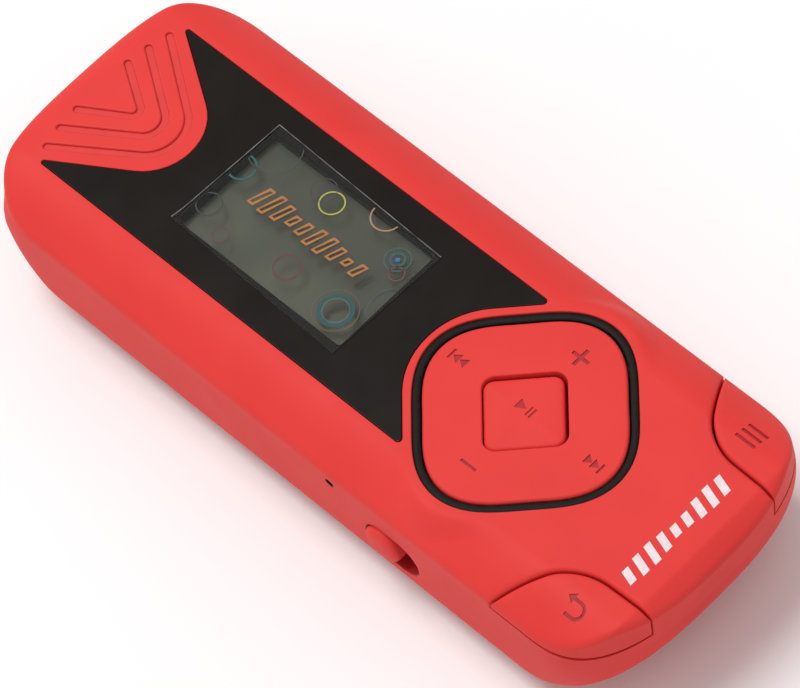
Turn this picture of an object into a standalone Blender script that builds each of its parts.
"""Clip-on digital audio player, modelled as the separate pieces it is assembled from.

The frame is the row's: the clip's flat outer face lies on z = 0, +Z points out of the face with
the keys and the display, +Y points to the display end, and x = 0, y = 0 is the middle of the plan.
Every size below is in millimetres; new_object() writes the meshes in metres.
Depths inside the housing are written as a drop below the flat middle of the face.
"""

import math

import bmesh
import bpy
from mathutils import Matrix, Vector

MM = 0.001

# Housing
LENGTH = 75.5
WIDTH = 27.8
HOUSING_DEPTH = 11.8
CLIP_STAND = 2.4  # how far the closed clip stands out below the rear cover
FACE_Z = HOUSING_DEPTH + CLIP_STAND
HALF_LENGTH = LENGTH / 2
HALF_WIDTH = WIDTH / 2
END_DEPTH = 8.8  # length of the superellipse that rounds each end of the plan
END_EXPONENT = 2.65
PLAN_POINTS = 56
FLAT_INSET = 4.9  # the face is flat this far inside the plan
SIDE_FALL = 2.7  # how far the crowned face has dropped at the long edges
END_FALL = 1.0
HULL_START = 1.5  # drop at which the ends start to round under
HULL_REACH = 8.0  # how far they have come in at the underside
HULL_POWER = 3.0  # 2 would be an ellipse, and more keeps the ends upright for longer
BOTTOM_FILLET = 1.2
WALL = 1.45
CEILING = 2.0  # drop of the inside of the face
CAVITY_FLOOR = 10.45
COVER_SEAT = (12.0, 27.5, 8.0)  # half width, half length and end depth of the opening underneath
COVER_GAP = 0.15
MIC_HOLE = (-6.6, 4.3, 0.35)  # place along the left wall, drop and radius

# Face panel, display window and film
PANEL_HALF_WIDTH = 8.85
PANEL_FAR_TIP_Y = 33.1
PANEL_FAR_APEX_Y = 18.54
PANEL_NEAR_TIP_Y = -10.85
PANEL_NEAR_APEX_Y = -2.0
PANEL_THICKNESS = 1.15
WINDOW_CENTRE = (0.3, 9.55)
WINDOW_SIZE = (11.4, 19.4)
FILM_SIZE = (12.5, 20.1)
FILM_THICKNESS = 0.1

# Finger grooves in the display end: apex, arm end and apex radius of each
GROOVES = (
    ((0.0, 29.1), (3.05, 34.15), 0.45),
    ((0.0, 25.6), (5.3, 33.9), 1.7),
    ((0.0, 22.2), (7.35, 33.4), 3.3),
)
GROOVE_RADIUS = 0.36

# Navigation pad, centred here in plan
PAD_Y = -16.3
RING_OUTER = (10.0, 0.61)  # mean radius and four-fold ripple of the rounded square
RING_INNER = (9.22, 0.61)
RING_DEPTH = 1.25
PAD_GAP = 0.22
PAD_PIVOT_DROP = 2.0
CENTRE_HOLE_SIDE = 7.1
CENTRE_KEY_SIDE = 6.7
PLATEAU_MARGIN = 1.1

# Corner keys
SEAM_SIDE = (13.9, -25.3)
SEAM_CORNER = (7.5, -29.86)
SEAM_END = (7.15, -38.5)
SEAM_SLOPE = 0.71  # from the corner up to the side edge
SEAM_OVERRUN = 4.0  # how far a key's outline runs past the housing
SEAM_RADIUS = 5.9
SEAM_GAP = 0.18
KEY_SKIRT_DROP = 3.25
KEY_CUT_DROP = 3.55

# Push switches on the main board
BOARD_TOP_DROP = 5.57
BOARD_THICKNESS = 0.83
BOARD_END_Y = 29.3
SWITCH_HEIGHT = 1.47
STEM_RADIUS = 0.75
STEM_FOOT_DROP = 4.9
PAD_SWITCHES = {
    "plus": (6.6, PAD_Y),
    "minus": (-6.6, PAD_Y),
    "next": (0.0, PAD_Y - 7.3),
    "previous": (0.0, PAD_Y + 7.3),
}
CORNER_SWITCH = (8.6, -30.6)

# Power slide on the left wall
SLOT_Y = (-16.2, -10.2)
SLOT_DROP = 7.75
SLOT_HEIGHT = 4.1
KNOB_LENGTH = 3.8
KNOB_Y = SLOT_Y[1] - 0.1 - KNOB_LENGTH / 2

# Clip and its hinge
CLIP_HALF_WIDTH = 7.5
CLIP_THICKNESS = 1.3
CLIP_TIP_Y = -23.0
CLIP_THUMB_Y = 19.8
THUMB_THIN = (1.35, 0.7)  # the plate's height where the thumb end starts to thin, and at its edge
PIN_Y = 13.0
PIN_Z = 1.45
PIN_RADIUS = 0.4
EAR_X = 3.8  # the rear cover's hinge ears
KNUCKLE_X = 5.6  # the clip's hinge knuckles, outside the ears
JAW_PITCH = 1.6
COIL_RADIUS = 0.62
COIL_TURNS = 5
COIL_HALF_LENGTH = 2.0
WIRE_RADIUS = 0.12

# Fasteners
SCREW_X = 8.9
SCREW_Y = 23.5
BOSS_RADIUS = 2.3
BOSS_TOP_DROP = 6.6

# Connectors
JACK_X = 3.8
JACK_DROP = 5.3
JACK_RADIUS = 2.6
JACK_BORE = 1.8
USB_X = -4.6
USB_DROP = 5.6
USB_HALF = (3.8, 1.3)  # half the width and height of the metal shell
CARD_Y = (-20.0, -8.2)
CARD_MOUTH = (6.6, 7.8)  # drops between which the card goes in

COLOURS = {
    "red_plastic": ((0.807, 0.067, 0.060), 0.62, 0.0),
    "black_plastic": ((0.020, 0.017, 0.014), 0.45, 0.0),
    "black_rubber": ((0.027, 0.020, 0.017), 0.60, 0.0),
    "clear_plastic": ((0.80, 0.84, 0.82), 0.08, 0.0),
    "screen": ((0.10, 0.11, 0.085), 0.30, 0.0),
    "silicone": ((0.62, 0.63, 0.62), 0.55, 0.0),
    "board_green": ((0.020, 0.13, 0.050), 0.45, 0.0),
    "chip_black": ((0.018, 0.018, 0.020), 0.50, 0.0),
    "steel": ((0.60, 0.60, 0.61), 0.28, 1.0),
    "foil": ((0.55, 0.57, 0.60), 0.38, 0.8),
    "amber_film": ((0.58, 0.25, 0.045), 0.35, 0.0),
    "foam": ((0.06, 0.06, 0.065), 0.90, 0.0),
    "lead_red": ((0.55, 0.025, 0.020), 0.45, 0.0),
}


def z_of(drop):
    return FACE_Z - drop


# ---------------------------------------------------------------- scene and object helpers


def clear_scene():
    for obj in list(bpy.data.objects):
        bpy.data.objects.remove(obj, do_unlink=True)


def new_collection(name, hidden=False):
    collection = bpy.data.collections.new(name)
    bpy.context.scene.collection.children.link(collection)
    collection.hide_render = hidden
    return collection


def material(name):
    found = bpy.data.materials.get(name)
    if found:
        return found
    colour, roughness, metallic = COLOURS[name]
    made = bpy.data.materials.new(name)
    made.use_nodes = True
    shader = made.node_tree.nodes["Principled BSDF"]
    shader.inputs["Base Color"].default_value = (*colour, 1.0)
    shader.inputs["Roughness"].default_value = roughness
    shader.inputs["Metallic"].default_value = metallic
    return made


def new_object(name, bm, finish=None, origin=(0.0, 0.0, 0.0)):
    """Makes an object of a bmesh in millimetres. Its own origin is put at the given point."""
    bmesh.ops.translate(bm, verts=bm.verts, vec=-Vector(origin))
    bmesh.ops.scale(bm, verts=bm.verts, vec=(MM, MM, MM))
    bmesh.ops.recalc_face_normals(bm, faces=bm.faces)
    mesh = bpy.data.meshes.new(name)
    bm.to_mesh(mesh)
    bm.free()
    mesh.shade_smooth()
    mesh.set_sharp_from_angle(angle=math.radians(35))
    obj = bpy.data.objects.new(name, mesh)
    obj.location = Vector(origin) * MM
    if finish:
        mesh.materials.append(material(finish))
        PARTS.objects.link(obj)
    else:
        obj.display_type = "WIRE"
        obj.hide_render = True
        CUTTERS.objects.link(obj)
    return obj


def combine(obj, other, operation):
    modifier = obj.modifiers.new(f"{operation.lower()}_{other.name}", "BOOLEAN")
    modifier.operation = operation
    modifier.solver = "EXACT"
    modifier.object = other


def cut(obj, *bodies):
    """Takes each bmesh away from the object. Each becomes a cutter object."""
    for number, bm in enumerate(bodies):
        cutter = new_object(f"{obj.name}_cutter_{len(obj.modifiers)}_{number}", bm)
        combine(obj, cutter, "DIFFERENCE")


def join(obj, *bodies):
    for number, bm in enumerate(bodies):
        helper = new_object(f"{obj.name}_helper_{len(obj.modifiers)}_{number}", bm)
        combine(obj, helper, "UNION")


def bevel(obj, width, segments=2, angle=40):
    modifier = obj.modifiers.new("bevel", "BEVEL")
    modifier.width = width * MM
    modifier.segments = segments
    modifier.limit_method = "ANGLE"
    modifier.angle_limit = math.radians(angle)


# ---------------------------------------------------------------- shapes, in millimetres


def box(x, y, z):
    """A box between the two ends of each axis."""
    bm = bmesh.new()
    bmesh.ops.create_cube(bm, size=1.0)
    size = Vector((abs(x[1] - x[0]), abs(y[1] - y[0]), abs(z[1] - z[0])))
    centre = Vector((sum(x) / 2, sum(y) / 2, sum(z) / 2))
    bmesh.ops.scale(bm, verts=bm.verts, vec=size)
    bmesh.ops.translate(bm, verts=bm.verts, vec=centre)
    return bm


def cylinder(centre, radius, length, axis="Z", segments=20):
    bm = bmesh.new()
    bmesh.ops.create_cone(bm, cap_ends=True, segments=segments, radius1=radius,
                          radius2=radius, depth=length)
    turn = {"X": Matrix.Rotation(math.pi / 2, 3, "Y"),
            "Y": Matrix.Rotation(-math.pi / 2, 3, "X"),
            "Z": Matrix.Identity(3)}[axis]
    bmesh.ops.rotate(bm, verts=bm.verts, matrix=turn, cent=(0, 0, 0))
    bmesh.ops.translate(bm, verts=bm.verts, vec=centre)
    return bm


def curve_mesh(curve):
    """The closed mesh that a curve evaluates to, as a bmesh with its caps welded on."""
    obj = bpy.data.objects.new(curve.name, curve)
    bpy.context.scene.collection.objects.link(obj)
    graph = bpy.context.evaluated_depsgraph_get()
    mesh = bpy.data.meshes.new_from_object(obj.evaluated_get(graph))
    bm = bmesh.new()
    bm.from_mesh(mesh)
    bmesh.ops.remove_doubles(bm, verts=bm.verts, dist=1e-4)
    bpy.data.objects.remove(obj)
    bpy.data.meshes.remove(mesh)
    return bm


def prism(points, low, high):
    """A flat outline given thickness between two heights."""
    curve = bpy.data.curves.new("outline", "CURVE")
    curve.dimensions = "2D"
    curve.fill_mode = "BOTH"
    curve.extrude = (high - low) / 2
    spline = curve.splines.new("POLY")
    spline.points.add(len(points) - 1)
    for point, (x, y) in zip(spline.points, points):
        point.co = (x, y, 0.0, 1.0)
    spline.use_cyclic_u = True
    bm = curve_mesh(curve)
    bmesh.ops.translate(bm, verts=bm.verts, vec=(0, 0, (low + high) / 2))
    return bm


def tube(points, radius, resolution=2):
    curve = bpy.data.curves.new("tube", "CURVE")
    curve.dimensions = "3D"
    curve.bevel_depth = radius
    curve.bevel_resolution = resolution
    curve.use_fill_caps = True
    spline = curve.splines.new("POLY")
    spline.points.add(len(points) - 1)
    for point, place in zip(spline.points, points):
        point.co = (*place, 1.0)
    return curve_mesh(curve)


def loft(rings):
    """A closed body through rings of equal point count. No modifier skins unlike sections."""
    bm = bmesh.new()
    levels = [[bm.verts.new(point) for point in ring] for ring in rings]
    for lower, upper in zip(levels, levels[1:]):
        for i in range(len(lower)):
            j = (i + 1) % len(lower)
            bm.faces.new((lower[i], lower[j], upper[j], upper[i]))
    bm.faces.new(levels[0][::-1])
    bm.faces.new(levels[-1])
    return bm


def turned(name, profile, finish, place, steps=12):
    """A turned piece: (radius, height) points down its outer side, spun round Z by a Screw."""
    bm = bmesh.new()
    verts = [bm.verts.new((radius, 0.0, height)) for radius, height in profile]
    for upper, lower in zip(verts, verts[1:]):
        bm.edges.new((upper, lower))
    obj = new_object(name, bm, finish)
    obj.location = Vector(place) * MM
    modifier = obj.modifiers.new("turn", "SCREW")
    modifier.steps = steps
    modifier.render_steps = steps
    modifier.use_merge_vertices = True
    modifier.merge_threshold = 1e-5
    return obj


def rounded(corners, segments=6):
    """A polygon whose corners, given as (x, y, radius), are rounded by arcs."""
    points = []
    count = len(corners)
    for i, (x, y, radius) in enumerate(corners):
        here = Vector((x, y))
        back = (Vector(corners[i - 1][:2]) - here).normalized()
        ahead = (Vector(corners[(i + 1) % count][:2]) - here).normalized()
        if radius == 0:
            points.append((x, y))
            continue
        half = back.angle(ahead) / 2
        centre = here + (back + ahead).normalized() * radius / math.sin(half)
        start = here + back * radius / math.tan(half) - centre
        end = here + ahead * radius / math.tan(half) - centre
        sweep = start.angle_signed(end)
        for step in range(segments + 1):
            turn = Matrix.Rotation(-sweep * step / segments, 2)
            points.append(tuple(centre + turn @ start))
    return points


def rectangle(centre, size, radius=0.0, turn=0.0, segments=4):
    half_x, half_y = size[0] / 2, size[1] / 2
    signs = ((1, 1), (-1, 1), (-1, -1), (1, -1))
    points = rounded([(a * half_x, b * half_y, radius) for a, b in signs], segments)
    spin = Matrix.Rotation(turn, 2)
    return [tuple(Vector(centre) + spin @ Vector(point)) for point in points]


def ripple_square(shape, offset=0.0, count=48):
    """The pad's outline: a circle with a four-fold ripple, its soft corners on the axes."""
    radius, ripple = shape
    points = []
    for step in range(count):
        angle = 2 * math.pi * step / count
        reach = radius + offset + ripple * math.cos(4 * angle)
        points.append((reach * math.cos(angle), PAD_Y + reach * math.sin(angle)))
    return points


def plan(half_width, half_length, end_depth, count=PLAN_POINTS):
    """A straight-sided outline whose two ends are halves of a superellipse."""
    points = []
    power = 2 / END_EXPONENT
    for step in range(count):
        angle = 2 * math.pi * (step + 0.5) / count
        across, along = math.cos(angle), math.sin(angle)
        x = half_width * math.copysign(abs(across) ** power, across)
        reach = end_depth * abs(along) ** power + half_length - end_depth
        points.append((x, math.copysign(reach, along)))
    return points


# ---------------------------------------------------------------- housing form


def hull_half_length(drop):
    """Half the length of the housing at a depth: below HULL_START the ends round under."""
    down = min(max(drop - HULL_START, 0.0) / (HOUSING_DEPTH - HULL_START), 1.0)
    return HALF_LENGTH - HULL_REACH * (1 - (1 - down ** HULL_POWER) ** (1 / HULL_POWER))


def hull_half_width(drop):
    into = max(drop - (HOUSING_DEPTH - BOTTOM_FILLET), 0.0)
    return HALF_WIDTH - BOTTOM_FILLET + math.sqrt(BOTTOM_FILLET ** 2 - into ** 2)


def face_fall(x, y):
    """How far the crowned face has dropped at a point of the plan."""
    side = (abs(x) - HALF_WIDTH + FLAT_INSET) / FLAT_INSET
    end = (abs(y) - HALF_LENGTH + FLAT_INSET) / FLAT_INSET
    return SIDE_FALL * max(side, 0.0) ** 1.8 + END_FALL * max(end, 0.0) ** 2


def housing_solid():
    """The outside of the player as one closed body, from the underside up to the flat face."""
    rings = []
    steps = 8
    wall_top = 4.0
    for step in range(steps, -1, -1):
        drop = wall_top + (HOUSING_DEPTH - wall_top) * math.sin(math.pi / 2 * step / steps)
        outline = plan(hull_half_width(drop), hull_half_length(drop), END_DEPTH)
        rings.append([(x, y, z_of(drop)) for x, y in outline])
    for inset, below in ((0.0, 0.8), (0.15, 0.3), (0.55, 0.0), (1.3, 0.0), (2.2, 0.0),
                         (3.1, 0.0), (4.0, 0.0), (FLAT_INSET, 0.0)):
        outline = plan(HALF_WIDTH - inset, HALF_LENGTH - inset, END_DEPTH - inset)
        rings.append([(x, y, z_of(face_fall(x, y) + below)) for x, y in outline])
    return loft(rings)


def cavity_solid():
    rings = []
    for drop in (CAVITY_FLOOR, 9.5, 8.3, 6.9, 5.4, 4.2):
        outline = plan(HALF_WIDTH - WALL, hull_half_length(drop) - WALL, END_DEPTH - WALL)
        rings.append([(x, y, z_of(drop)) for x, y in outline])
    outline = plan(HALF_WIDTH - 4.3, HALF_LENGTH - 6.0, END_DEPTH - 4.3)
    rings.append([(x, y, z_of(CEILING)) for x, y in outline])
    return loft(rings)


def slab(points, top_drop, bottom_drop):
    return prism(points, z_of(bottom_drop), z_of(top_drop))


def corner_region(side, gap=0.0):
    """The plan of a corner key: inside the seam, and past the housing's edges."""
    lift = gap * math.hypot(1.0, SEAM_SLOPE)
    outer_x = SEAM_SIDE[0] + SEAM_OVERRUN
    outer_y = SEAM_SIDE[1] + SEAM_OVERRUN * SEAM_SLOPE
    end_y = SEAM_END[1] - SEAM_OVERRUN
    points = rounded([
        (outer_x, outer_y + lift, 0.0),
        (SEAM_CORNER[0] - gap, SEAM_CORNER[1] + lift - gap * SEAM_SLOPE, SEAM_RADIUS + gap),
        (SEAM_END[0] - gap, end_y, 0.0),
        (outer_x, end_y, 0.0),
    ], 10)
    return [(side * x, y) for x, y in points]


def stadium_wall(centre_y, centre_drop, length, height, x):
    """A round-ended block through the side wall, its long axis along Y."""
    outline = rectangle((0.0, 0.0), (length, height), height / 2 - 0.01, segments=6)
    bm = prism(outline, x[0], x[1])
    # The prism stands along Z; turn it so that it runs along X, with its length along Y.
    turn = Matrix(((0, 0, 1), (1, 0, 0), (0, 1, 0)))
    bmesh.ops.transform(bm, matrix=turn.to_4x4(), verts=bm.verts)
    bmesh.ops.translate(bm, verts=bm.verts, vec=(0.0, centre_y, z_of(centre_drop)))
    return bm


def groove_path(apex, arm_end, radius):
    """A V on the face with a rounded apex, from one arm's end to the other's."""
    corners = [(-arm_end[0], arm_end[1], 0.0), (*apex, radius), (*arm_end, 0.0)]
    bent = rounded(corners + [(0.0, arm_end[1] + 9.0, 0.0)], 6)[:-1]
    return [(x, y, z_of(0.03)) for x, y in bent]


def make_front_housing():
    obj = new_object("front_housing", housing_solid(), "red_plastic")
    ring_top = ripple_square(RING_OUTER, PLATEAU_MARGIN)
    join(obj, slab(ring_top, 0.02, 1.6))

    # The cavity leaves the four screw bosses standing on ribs from the side walls.
    cavity = new_object("cavity", cavity_solid())
    for x_side in (1, -1):
        for y_side in (1, -1):
            x, y = x_side * SCREW_X, y_side * SCREW_Y
            middle = z_of((BOSS_TOP_DROP + CAVITY_FLOOR - 0.1) / 2)
            height = CAVITY_FLOOR - 0.1 - BOSS_TOP_DROP
            rib_x = sorted((x, x_side * (HALF_WIDTH - 1.0)))
            rib_z = (middle - height / 2 + 0.02, middle + height / 2 - 0.02)
            cut(cavity,
                cylinder((x, y, middle), BOSS_RADIUS, height, segments=18),
                box(rib_x, (y - 0.8, y + 0.8), rib_z))
            cut(obj, cylinder((x, y, middle - 0.6), 0.68, height - 0.9, segments=12))
    combine(obj, cavity, "DIFFERENCE")
    cut(obj, slab(plan(*COVER_SEAT), CAVITY_FLOOR - 0.05, HOUSING_DEPTH + 1.0))

    cut(obj, slab(panel_outline(0.1), -1.0, PANEL_THICKNESS + 0.1))
    cut(obj, slab(rectangle(WINDOW_CENTRE, (WINDOW_SIZE[0] + 0.8, WINDOW_SIZE[1] + 0.8), 0.8),
                  0.5, 3.0))
    for apex, arm_end, radius in GROOVES:
        cut(obj, tube(groove_path(apex, arm_end, radius), GROOVE_RADIUS, 1))

    cut(obj, slab(ripple_square(RING_OUTER, 0.03), -1.0, RING_DEPTH + 0.05))
    cut(obj, slab(ripple_square(RING_INNER, 0.1), 0.5, 3.0))
    cut(obj, slab(ripple_square(RING_INNER, 0.7), CEILING, 4.2))
    for side in (1, -1):
        cut(obj, slab(corner_region(side, SEAM_GAP), -1.0, KEY_CUT_DROP))

    # Left wall: power slot and microphone hole. Right wall: memory card. Display end: sockets.
    cut(obj,
        stadium_wall(sum(SLOT_Y) / 2, SLOT_DROP, SLOT_Y[1] - SLOT_Y[0], SLOT_HEIGHT,
                     (-HALF_WIDTH - 1.0, -HALF_WIDTH + 2.0)),
        cylinder((-HALF_WIDTH + 0.5, MIC_HOLE[0], z_of(MIC_HOLE[1])), MIC_HOLE[2], 4.0, "X", 10),
        box((HALF_WIDTH - 2.0, HALF_WIDTH + 1.0), (CARD_Y[0] + 0.2, CARD_Y[1] - 0.2),
            (z_of(CARD_MOUTH[1]), z_of(CARD_MOUTH[0]))),
        cylinder((JACK_X, 35.5, z_of(JACK_DROP)), JACK_RADIUS + 0.15, 11.0, "Y", 24),
        box((USB_X - USB_HALF[0] - 0.3, USB_X + USB_HALF[0] + 0.3), (32.0, 40.0),
            (z_of(USB_DROP + USB_HALF[1] + 0.3), z_of(USB_DROP - USB_HALF[1] - 0.3))))
    return obj


def make_rear_cover():
    outline = plan(*(size - COVER_GAP for size in COVER_SEAT))
    obj = new_object("rear_cover", slab(outline, CAVITY_FLOOR + 0.05, HOUSING_DEPTH), "red_plastic")
    underside = z_of(HOUSING_DEPTH)
    for side in (1, -1):
        ear = box((side * EAR_X - 0.8, side * EAR_X + 0.8), (PIN_Y - 0.9, PIN_Y + 0.9),
                  (PIN_Z - 0.75, underside + 0.5))
        join(obj, ear)
    cut(obj, cylinder((0.0, PIN_Y, PIN_Z), PIN_RADIUS + 0.05, 11.0, "X", 16))
    for x_side in (1, -1):
        for y_side in (1, -1):
            x, y = x_side * SCREW_X, y_side * SCREW_Y
            cut(obj,
                cylinder((x, y, underside + 0.7), 0.82, 3.0, segments=14),
                cylinder((x, y, underside), 1.5, 1.5, segments=16))
    return obj


def make_screws():
    head_z = z_of(HOUSING_DEPTH) + 0.08
    profile = [(0.0, 3.9), (0.62, 3.3), (0.62, 0.62), (1.35, 0.5), (1.35, 0.12),
               (1.1, 0.0), (0.5, 0.0), (0.4, 0.35), (0.0, 0.35)]
    number = 1
    for x_side in (1, -1):
        for y_side in (1, -1):
            place = (x_side * SCREW_X, y_side * SCREW_Y, head_z)
            turned(f"case_screw_{number}", profile, "steel", place)
            number += 1


# ---------------------------------------------------------------- face and display


def panel_outline(grow=0.0):
    """The bow-tie: straight long edges, a V cut-out at the far end and a soft one at the pad."""
    x = PANEL_HALF_WIDTH + grow
    far_slope = (PANEL_FAR_TIP_Y - PANEL_FAR_APEX_Y) / PANEL_HALF_WIDTH
    near_slope = (PANEL_NEAR_TIP_Y - PANEL_NEAR_APEX_Y) / PANEL_HALF_WIDTH
    far_apex = PANEL_FAR_APEX_Y + grow * math.hypot(1.0, far_slope)
    near_apex = PANEL_NEAR_APEX_Y - grow * math.hypot(1.0, near_slope)
    return rounded([
        (x, far_apex + far_slope * x, 0.12),
        (0.0, far_apex, 5.1),
        (-x, far_apex + far_slope * x, 0.12),
        (-x, near_apex + near_slope * x, 0.25),
        (0.0, near_apex, 7.5),
        (x, near_apex + near_slope * x, 0.25),
    ], 8)


def make_display():
    panel = new_object("face_panel", slab(panel_outline(), 0.02, PANEL_THICKNESS), "black_plastic")
    hole = rectangle(WINDOW_CENTRE, (WINDOW_SIZE[0] + 0.2, WINDOW_SIZE[1] + 0.2), 0.5)
    cut(panel, slab(hole, -1.0, 3.0))
    new_object("display_window", slab(rectangle(WINDOW_CENTRE, WINDOW_SIZE, 0.4), 0.05, 1.0),
               "clear_plastic")
    film = rectangle(WINDOW_CENTRE, FILM_SIZE, 0.3, math.radians(-2))
    new_object("display_film", slab(film, -FILM_THICKNESS - 0.02, -0.02), "clear_plastic")

    gasket = new_object("display_gasket", slab(rectangle(WINDOW_CENTRE, (15.4, 22.6), 0.6),
                                               2.05, 2.45), "foam")
    cut(gasket, slab(rectangle(WINDOW_CENTRE, (12.4, 20.4), 0.4), 1.0, 3.5))
    module = new_object("display_module", slab(rectangle(WINDOW_CENTRE, (15.6, 23.0), 0.3),
                                               2.5, 4.1), "screen")
    bevel(module, 0.12, 1)

    # The flex runs from under the module to the board in one soft S.
    bm = bmesh.new()
    start = (WINDOW_CENTRE[1] - 11.6, z_of(3.7))
    end = (WINDOW_CENTRE[1] - 15.0, z_of(5.35))
    rows = []
    for step in range(7):
        t = step / 6
        y = start[0] + (end[0] - start[0]) * t
        ease = (1 - math.cos(math.pi * t)) / 2
        z = start[1] + (end[1] - start[1]) * ease
        rows.append([bm.verts.new((x, y, z)) for x in (-4.0, 4.0)])
    for first, second in zip(rows, rows[1:]):
        bm.faces.new((first[0], first[1], second[1], second[0]))
    flex = new_object("display_flex", bm, "amber_film")
    thick = flex.modifiers.new("thickness", "SOLIDIFY")
    thick.thickness = 0.15 * MM
    thick.offset = 0.0


# ---------------------------------------------------------------- navigation pad and keys


def make_pad():
    ring = new_object("pad_ring", slab(ripple_square(RING_OUTER), 0.0, RING_DEPTH), "black_rubber")
    cut(ring, slab(ripple_square(RING_INNER), -1.0, 3.0))

    pivot = (0.0, PAD_Y, z_of(PAD_PIVOT_DROP))
    pad = new_object("nav_pad", slab(ripple_square(RING_INNER, -PAD_GAP), 0.15, 2.6),
                     "red_plastic", pivot)
    join(pad, slab(ripple_square(RING_INNER, 0.28), 2.45, 3.0))
    hole = rectangle((0.0, PAD_Y), (CENTRE_HOLE_SIDE,) * 2, 1.13, math.pi / 4)
    cut(pad, slab(hole, -1.0, 4.0))

    mat = new_object("key_mat", cylinder((0.0, PAD_Y, z_of(3.58)), 9.0, 0.35, segments=40),
                     "silicone", pivot)
    cut(mat, cylinder((0.0, PAD_Y, z_of(3.58)), 4.9, 2.0, segments=28))
    for x, y in PAD_SWITCHES.values():
        cut(mat, cylinder((x, y, z_of(3.58)), 1.1, 2.0, segments=14))

    top = rectangle((0.0, PAD_Y), (CENTRE_KEY_SIDE,) * 2, 0.95, math.pi / 4)
    key = new_object("centre_key", slab(top, 0.45, 3.05), "red_plastic", (0.0, PAD_Y, z_of(0.45)))
    bevel(key, 0.2)


def make_corner_key(name, side):
    origin = (side * CORNER_SWITCH[0], CORNER_SWITCH[1], z_of(1.0))
    obj = new_object(name, housing_solid(), "red_plastic", origin)
    region = new_object(f"{name}_region", slab(corner_region(side), -1.0, KEY_SKIRT_DROP))
    combine(obj, region, "INTERSECT")
    combine(obj, new_object(f"{name}_cavity", cavity_solid()), "DIFFERENCE")
    place = (side * CORNER_SWITCH[0], CORNER_SWITCH[1], z_of(2.5))
    join(obj, cylinder(place, 0.8, 1.6, segments=16))
    return obj


def make_switch(name, place, stem_top_drop, size):
    """One push switch: a bored body fixed to the board, and the stem that its key pushes."""
    x, y = place
    body_top = BOARD_TOP_DROP - 0.03 - SWITCH_HEIGHT
    body = new_object(f"{name}_switch", slab(rectangle(place, (size, size), 0.15, segments=1),
                                             body_top, BOARD_TOP_DROP - 0.03), "steel")
    cut(body, cylinder((x, y, z_of(body_top)), STEM_RADIUS + 0.15, 2.3, segments=14))
    length = STEM_FOOT_DROP - stem_top_drop
    middle = z_of((STEM_FOOT_DROP + stem_top_drop) / 2)
    new_object(f"{name}_stem", cylinder((x, y, middle), STEM_RADIUS, length, segments=14),
               "chip_black", (x, y, z_of(stem_top_drop)))


def make_switches():
    for name, place in PAD_SWITCHES.items():
        make_switch(name, place, 3.04, 3.0)
    make_switch("centre", (0.0, PAD_Y), 3.09, 3.0)
    make_switch("menu", CORNER_SWITCH, 3.34, 2.7)
    make_switch("back", (-CORNER_SWITCH[0], CORNER_SWITCH[1]), 3.34, 2.7)


# ---------------------------------------------------------------- board and what it carries


def make_board():
    under = BOARD_TOP_DROP + BOARD_THICKNESS
    board = new_object("main_board", slab(plan(11.0, 35.0, 7.0), BOARD_TOP_DROP, under),
                       "board_green")
    cut(board,
        box((-20.0, 20.0), (BOARD_END_Y, 40.0), (z_of(7.0), z_of(5.0))),
        box((JACK_X - 3.0, JACK_X + 3.0), (21.8, 40.0), (z_of(7.0), z_of(5.0))))

    chips = {
        "processor_chip": ((-5.2, 11.8), (7.2, 7.2)),
        "flash_chip": ((5.0, 10.2), (8.0, 11.0)),
        "power_chip": ((-6.2, 3.6), (4.0, 4.0)),
        "microphone": ((-9.6, -6.6), (2.4, 3.0)),
    }
    for name, (place, size) in chips.items():
        chip = new_object(name, slab(rectangle(place, size), 4.6, BOARD_TOP_DROP - 0.05),
                          "foil" if name == "microphone" else "chip_black")
        bevel(chip, 0.1, 1)
    crystal = rectangle((-0.4, 19.4), (3.2, 1.6), 0.5, segments=3)
    new_object("clock_crystal", slab(crystal, 4.75, BOARD_TOP_DROP - 0.05), "steel")


def make_battery():
    x, y = (-9.6, 9.6), (-7.0, 20.0)
    battery = new_object("battery", box(x, y, (z_of(10.2), z_of(7.0))), "foil")
    bevel(battery, 0.5, 2)
    new_object("battery_tape", box((-7.0, 7.0), (-4.0, 17.0), (z_of(10.42), z_of(10.25))), "foam")
    for name, lead_x, finish in (("battery_lead_red", -3.0, "lead_red"),
                                 ("battery_lead_black", -4.6, "black_rubber")):
        route = []
        for step in range(8):
            t = step / 7
            ease = (1 - math.cos(math.pi * t)) / 2
            drop = 8.0 - 1.1 * ease
            route.append((lead_x + 0.9 * math.sin(math.pi * t), 20.3 + 4.6 * t, z_of(drop)))
        new_object(name, tube(route, 0.35), finish)


def usb_block(half_width, half_height, y):
    """A block centred on the port's axis."""
    return box((USB_X - half_width, USB_X + half_width), y,
               (z_of(USB_DROP + half_height), z_of(USB_DROP - half_height)))


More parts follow.
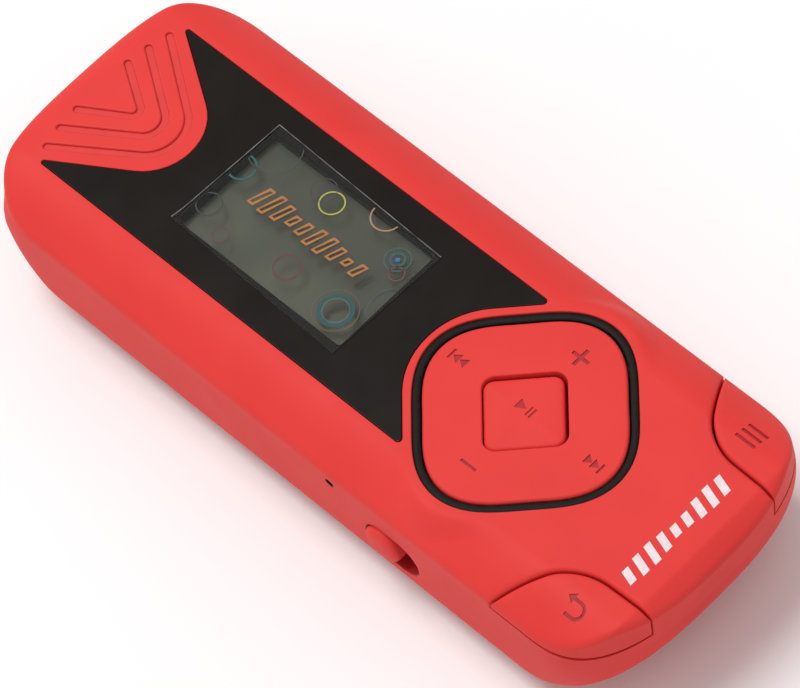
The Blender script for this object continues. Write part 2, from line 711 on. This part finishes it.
def make_connectors():
    jack = new_object("headphone_jack", box((JACK_X - 2.7, JACK_X + 2.7), (22.2, 31.6),
                                            (z_of(7.8), z_of(2.8))), "chip_black")
    bevel(jack, 0.2, 1)
    join(jack, cylinder((JACK_X, 33.85, z_of(JACK_DROP)), JACK_RADIUS, 5.5, "Y", 24))
    cut(jack, cylinder((JACK_X, 31.0, z_of(JACK_DROP)), JACK_BORE, 16.0, "Y", 20))

    usb = new_object("usb_port", usb_block(*USB_HALF, (BOARD_END_Y + 0.2, 35.3)), "steel")
    sheet = 0.4  # thickness of the port's folded metal
    cut(usb, usb_block(USB_HALF[0] - sheet, USB_HALF[1] - sheet, (BOARD_END_Y + 0.8, 36.0)))
    new_object("usb_tongue", usb_block(2.2, 0.35, (BOARD_END_Y + 0.9, 34.6)), "chip_black")

    top = BOARD_TOP_DROP + BOARD_THICKNESS + 0.05
    card = new_object("card_slot", box((-3.2, 11.4), CARD_Y, (z_of(top + 1.5), z_of(top))), "steel")
    cut(card, box((-2.4, 14.0), (CARD_Y[0] + 0.35, CARD_Y[1] - 0.35),
                  (z_of(top + 1.15), z_of(top + 0.3))))


def make_power_slide():
    origin = (-HALF_WIDTH, KNOB_Y, z_of(SLOT_DROP))
    knob = stadium_wall(KNOB_Y, SLOT_DROP, KNOB_LENGTH, SLOT_HEIGHT - 0.3,
                        (-HALF_WIDTH - 0.6, -HALF_WIDTH + 1.8))
    obj = new_object("power_knob", knob, "red_plastic", origin)
    bevel(obj, 0.45, 3, 60)
    flange_y = (KNOB_Y - 5.0, KNOB_Y + 4.4)
    join(obj, box((-HALF_WIDTH + 1.6, -HALF_WIDTH + 2.3), flange_y,
                  (z_of(SLOT_DROP + 2.45), z_of(SLOT_DROP - 2.45))))

    top = BOARD_TOP_DROP + BOARD_THICKNESS + 0.05
    body = new_object("slide_switch", box((-10.9, -7.6), (-16.6, -9.9), (z_of(top + 1.9), z_of(top))),
                      "steel")
    cut(body, box((-12.0, -8.9), (KNOB_Y - 2.8, KNOB_Y + 0.8), (z_of(7.9), z_of(6.8))))
    new_object("slide_switch_lever", box((-11.5, -9.1), (KNOB_Y - 0.65, KNOB_Y + 0.65),
                                         (z_of(7.8), z_of(6.9))), "chip_black", origin)


# ---------------------------------------------------------------- clip


def make_clip():
    """The clip: a flat plate with jaw ridges at its tip and a thinned thumb end past the pin."""
    width = CLIP_HALF_WIDTH
    outline = rounded([(width, CLIP_THUMB_Y, 2.0), (-width, CLIP_THUMB_Y, 2.0),
                       (-width, -10.0, 12.0), (-width + 1.5, CLIP_TIP_Y, 3.5),
                       (width - 1.5, CLIP_TIP_Y, 3.5), (width, -10.0, 12.0)], 6)
    obj = new_object("clip", prism(outline, 0.0, CLIP_THICKNESS), "red_plastic",
                     (0.0, PIN_Y, PIN_Z))
    above_thumb = []
    for y, height in zip((PIN_Y + 2.0, CLIP_THUMB_Y + 0.5), THUMB_THIN):
        above_thumb.append([(-9.0, y, height), (9.0, y, height), (9.0, y, 3.0), (-9.0, y, 3.0)])
    cut(obj, loft(above_thumb), box((-4.8, 4.8), (PIN_Y - 1.6, PIN_Y + 1.6), (-1.0, 3.0)))
    for side in (1, -1):
        centre = side * KNUCKLE_X
        join(obj, cylinder((centre, PIN_Y, PIN_Z), 0.78, 1.4, "X", 16),
             box((centre - 0.7, centre + 0.7), (PIN_Y - 0.78, PIN_Y + 0.78), (0.6, PIN_Z)))
    cut(obj, cylinder((0.0, PIN_Y, PIN_Z), PIN_RADIUS + 0.05, 14.0, "X", 16))
    for row in range(3):
        y = CLIP_TIP_Y + 2.2 + JAW_PITCH * row
        join(obj, box((-4.6, 4.6), (y - 0.35, y + 0.35), (CLIP_THICKNESS - 0.3, 2.2)))
    new_object("clip_pin", cylinder((0.0, PIN_Y, PIN_Z), PIN_RADIUS, 12.9, "X", 14), "steel")


def make_clip_spring():
    """A coil round the pin, with one leg on the clip's plate and one on the rear cover."""
    steps_per_turn = 10
    steps = COIL_TURNS * steps_per_turn
    wire = [(-COIL_HALF_LENGTH, PIN_Y + COIL_RADIUS, 0.5)]
    for step in range(steps + 1):
        angle = 2 * math.pi * step / steps_per_turn
        x = COIL_HALF_LENGTH * (2 * step / steps - 1)
        wire.append((x, PIN_Y + COIL_RADIUS * math.cos(angle),
                     PIN_Z + COIL_RADIUS * math.sin(angle)))
    wire.append((COIL_HALF_LENGTH, PIN_Y + COIL_RADIUS, 2.2))
    new_object("clip_spring", tube(wire, WIRE_RADIUS, 1), "steel")


clear_scene()
PARTS = new_collection("audio_player")
CUTTERS = new_collection("cutters", hidden=True)
make_front_housing()
make_rear_cover()
make_screws()
make_display()
make_pad()
make_corner_key("menu_key", 1)
make_corner_key("back_key", -1)
make_switches()
make_board()
make_battery()
make_connectors()
make_power_slide()
make_clip()
make_clip_spring()
